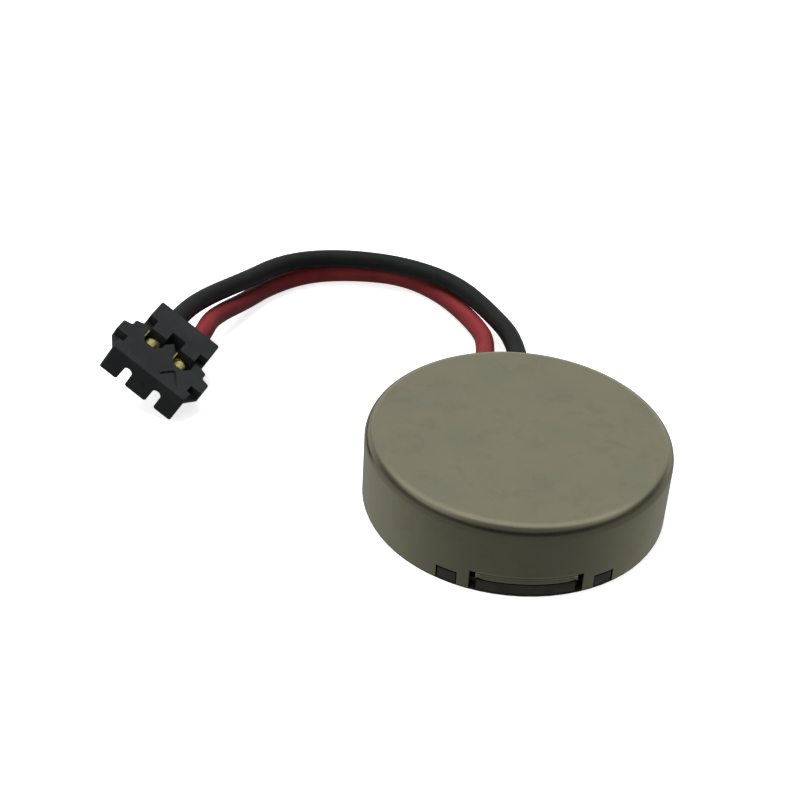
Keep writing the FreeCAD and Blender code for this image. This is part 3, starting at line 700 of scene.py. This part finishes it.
def soft_insulation(name, colour, deep, worn):
    """Extruded silicone rubber: satin, with fine grain, handling marks and a little dust."""
    finish = Finish(name, colour, 0.5)
    finish.tint(finish.range(finish.noise(0.8, detail=3.0), 0.35, 0.75), deep)
    finish.tint(finish.range(finish.noise(6.0, detail=4.0, roughness=0.7), 0.62, 0.8, 0.0, 0.5), worn)
    finish.rough(finish.noise(2.5, detail=4.0), 0.4, 0.62)
    finish.bump(finish.noise(16.0, detail=3.0), 0.008 * MM, 0.35)
    finish.bump(finish.noise(1.8, detail=2.0), 0.02 * MM, 0.3)
    return finish.material


def red_insulation():
    return soft_insulation("red_insulation", (0.27, 0.03, 0.032), (0.21, 0.02, 0.023),
                           (0.36, 0.07, 0.07))


def black_insulation():
    return soft_insulation("black_insulation", (0.012, 0.014, 0.0125), (0.008, 0.0095, 0.009),
                           (0.035, 0.04, 0.036))


def plug_plastic():
    """Black glass-filled nylon with a fine moulded grain."""
    finish = Finish("plug_plastic", (0.022, 0.024, 0.025), 0.48)
    finish.tint(finish.range(finish.noise(1.1, detail=3.0), 0.4, 0.7), (0.03, 0.032, 0.033))
    finish.tint(finish.range(finish.noise(18.0, detail=2.0, roughness=0.8), 0.66, 0.8, 0.0, 0.6),
                (0.075, 0.08, 0.08))
    finish.rough(finish.noise(4.0, detail=3.0), 0.4, 0.58)
    finish.bump(finish.noise(24.0, detail=3.0), 0.006 * MM, 0.45)
    return finish.material


def gold_plate():
    """Gold flash over stamped copper alloy, with fine press marks."""
    finish = Finish("gold_plate", (0.95, 0.86, 0.36), 0.2, metallic=0.6)
    finish.tint(finish.range(finish.noise(3.0, detail=4.0), 0.45, 0.75), (0.82, 0.7, 0.25))
    finish.rough(finish.noise(8.0), 0.14, 0.3)
    finish.bump(finish.noise(20.0, stretch=(1, 0.2, 1)), 0.004 * MM, 0.5)
    return finish.material


def plain_finish(name, colour, darker, roughness, metallic, scale=2.0, depth=0.006):
    """Mottled colour with a grain, for the pieces that need no pattern of their own."""
    finish = Finish(name, colour, roughness, metallic)
    finish.tint(finish.range(finish.noise(scale, detail=4.0), 0.4, 0.7), darker)
    finish.rough(finish.noise(scale * 2.5), roughness * 0.85, min(1.0, roughness * 1.25))
    finish.bump(finish.noise(scale * 8.0), depth * MM, 0.5)
    return finish.material


finishes = {
    "case_steel": case_steel(),
    "plate_steel": plate_steel(),
    # Painted shade: the adhesive film is coloured near black so that it paints the shadow line along the
    # can's bottom edge.
    "adhesive": plain_finish("adhesive", (0.035, 0.033, 0.03), (0.02, 0.02, 0.018), 0.6, 0.0, 1.0),
    "polyimide": plain_finish("polyimide", (0.42, 0.17, 0.02), (0.30, 0.11, 0.012), 0.28, 0.0, 1.0),
    "gold_plate": gold_plate(),
    "magnet": plain_finish("magnet", (0.42, 0.42, 0.43), (0.33, 0.33, 0.34), 0.34, 1.0),
    "shaft_steel": plain_finish("shaft_steel", (0.62, 0.62, 0.62), (0.5, 0.5, 0.5), 0.16, 1.0, 4.0, 0.002),
    "washer_plastic": plain_finish("washer_plastic", (0.62, 0.6, 0.52), (0.54, 0.52, 0.44), 0.5, 0.0),
    "brush_metal": plain_finish("brush_metal", (0.75, 0.6, 0.36), (0.62, 0.48, 0.27), 0.24, 1.0),
    "solder": plain_finish("solder", (0.72, 0.72, 0.7), (0.55, 0.55, 0.53), 0.22, 1.0, 3.0, 0.01),
    "glue": plain_finish("glue", (0.55, 0.53, 0.45), (0.46, 0.43, 0.34), 0.16, 0.0, 1.2, 0.01),
    "red_insulation": red_insulation(),
    "black_insulation": black_insulation(),
    "tinned_copper": plain_finish("tinned_copper", (0.66, 0.63, 0.58), (0.6, 0.42, 0.3), 0.3, 1.0,
                                  6.0),
    "plug_plastic": plug_plastic(),
    "board_laminate": plain_finish("board_laminate", (0.03, 0.16, 0.05), (0.02, 0.11, 0.035), 0.4, 0.0),
    "enamelled_copper": plain_finish("enamelled_copper", (0.62, 0.24, 0.08), (0.5, 0.17, 0.05), 0.25, 1.0),
    "tungsten": plain_finish("tungsten", (0.36, 0.36, 0.37), (0.28, 0.28, 0.29), 0.42, 1.0),
    "rotor_resin": plain_finish("rotor_resin", (0.03, 0.03, 0.032), (0.022, 0.022, 0.024), 0.45, 0.0),
    "bush_brass": plain_finish("bush_brass", (0.6, 0.42, 0.2), (0.46, 0.31, 0.14), 0.38, 1.0, 6.0, 0.01),
}


def paint_everything():
    """Give each piece and each carried-over CAD node the finish of its slot."""
    for name, node in nodes.items():
        node.data.materials.clear()
        node.data.materials.append(finishes[slot_of[name]])
    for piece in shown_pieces():
        if "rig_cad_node" not in piece:
            piece.data.materials.clear()
            piece.data.materials.append(finishes[piece["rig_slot"]])


paint_everything()


# --- floor and light ---------------------------------------------------------------------------------

FLOOR_HALF = 400 * MM
FLOOR_DROP = 0.005 * MM
LIGHT_SIZE = 120 * MM
KEY_PLACE = Vector((-30, 40, 120)) * MM
KEY_POWER = 0.17
FILL_PLACE = Vector((-60, -110, 50)) * MM
FILL_POWER = 0.065
FLOOR_GLOW = 0.75
SIDE_LEVEL = 0.09
SKY_LEVEL = 0.5
BACK_SHARE = 0.61
DARK_DIRECTION = (0.05, -0.74, 0.67)
DARK_SPREAD = (0.5, 0.9)
DARK_SHARE = 0.3
FRONT_DIRECTION = (0.07, -1, 0)
GROUND_BACK_LEVEL = 0.32
GROUND_FRONT_LEVEL = 0.095
# Between which cosines of a direction with the vertical, or with the room's back or front, the
# levels ease from one to the next.
OVERHEAD_SPREAD = (0.5, 0.85)
BEHIND_SPREAD = (0.25, 0.7)
ABOVE_SPREAD = (-0.3, 0.15)
BELOW_SPREAD = (-0.2, 0.5)
GROUND_SPREAD = (-1.0, 0.9)


def make_floor():
    """Plain pale floor, bright enough to keep shadows faint. Only the camera sees it."""
    half = FLOOR_HALF
    corners = [(-half, -half, 0), (half, -half, 0), (half, half, 0), (-half, half, 0)]
    floor = bpy.data.objects.new("floor", mesh_from("floor", corners, [(0, 1, 2, 3)]))
    scene.collection.objects.link(floor)
    floor.location.z = -FLOOR_DROP
    floor.visible_glossy = False
    floor.visible_diffuse = False
    pale = bpy.data.materials.new("pale_floor")
    pale.use_nodes = True
    shader = pale.node_tree.nodes["Principled BSDF"]
    shader.inputs["Base Color"].default_value = (0.9, 0.9, 0.9, 1)
    shader.inputs["Roughness"].default_value = 0.9
    shader.inputs["Specular IOR Level"].default_value = 0.0
    shader.inputs["Emission Color"].default_value = (1, 1, 1, 1)
    shader.inputs["Emission Strength"].default_value = FLOOR_GLOW
    floor.data.materials.append(pale)


def make_light(name, place, power):
    """Broad soft lamp aimed at the motor, which no reflection shows."""
    light = bpy.data.lights.new(name, "AREA")
    light.shape = "SQUARE"
    light.size = LIGHT_SIZE
    light.energy = power
    lamp = bpy.data.objects.new(name, light)
    lamp.location = place
    lamp.rotation_euler = (-place).to_track_quat("-Z", "Y").to_euler()
    lamp.visible_glossy = False
    scene.collection.objects.link(lamp)


def make_world():
    """Soft room: a lit ceiling and back wall, dim sides, a dark stretch above the camera, a dim floor.

    Only reflections and soft light see it. The camera sees plain white past the floor's edge.
    """
    world = bpy.data.worlds.new("studio")
    world.use_nodes = True
    scene.world = world
    tree = world.node_tree
    tree.nodes.clear()

    def add(kind, **settings):
        made = tree.nodes.new("ShaderNode" + kind)
        for key, value in settings.items():
            setattr(made, key, value)
        return made

    coordinates = add("TexCoord")

    def smooth(value, low, high, to_low, to_high):
        """Level that eases from one number to another as a value goes from low to high."""
        mapped = add("MapRange", interpolation_type="SMOOTHSTEP")
        numbers = (("From Min", low), ("From Max", high), ("To Min", to_low), ("To Max", to_high))
        for socket, number in numbers:
            mapped.inputs[socket].default_value = number
        tree.links.new(value, mapped.inputs["Value"])
        return mapped.outputs["Result"]

    def combine(operation, first, second):
        made = add("Math", operation=operation)
        tree.links.new(first, made.inputs[0])
        tree.links.new(second, made.inputs[1])
        return made.outputs[0]

    def facing(direction):
        """Cosine of the angle between the looked-at direction and a given one."""
        dot = add("VectorMath", operation="DOT_PRODUCT")
        tree.links.new(coordinates.outputs["Generated"], dot.inputs[0])
        dot.inputs[1].default_value = Vector(direction).normalized()
        return dot.outputs["Value"]

    height = facing((0, 0, 1))
    overhead = smooth(height, *OVERHEAD_SPREAD, 0.0, 1.0)
    behind = smooth(facing((0, 1, 0)), *BEHIND_SPREAD, 0.0, BACK_SHARE)
    lit = smooth(combine("MAXIMUM", overhead, behind), 0.0, 1.0, SIDE_LEVEL, SKY_LEVEL)
    open_side = smooth(facing(DARK_DIRECTION), *DARK_SPREAD, 1.0, DARK_SHARE)
    above = smooth(height, *ABOVE_SPREAD, 0.0, 1.0)
    upper = combine("MULTIPLY", combine("MULTIPLY", lit, open_side), above)
    ground = smooth(facing(FRONT_DIRECTION), *GROUND_SPREAD, GROUND_BACK_LEVEL, GROUND_FRONT_LEVEL)
    below = smooth(height, *BELOW_SPREAD, 1.0, 0.0)
    level = combine("ADD", upper, combine("MULTIPLY", ground, below))
    room = add("Background")
    tree.links.new(level, room.inputs["Strength"])
    white = add("Background")
    white.inputs["Color"].default_value = (1, 1, 1, 1)
    ray = add("LightPath")
    pick = add("MixShader")
    tree.links.new(ray.outputs["Is Camera Ray"], pick.inputs[0])
    tree.links.new(room.outputs[0], pick.inputs[1])
    tree.links.new(white.outputs[0], pick.inputs[2])
    output = add("OutputWorld")
    tree.links.new(pick.outputs[0], output.inputs["Surface"])


make_floor()
make_light("key", KEY_PLACE, KEY_POWER)
make_light("fill", FILL_PLACE, FILL_POWER)
make_world()
scene.view_settings.view_transform = "Standard"
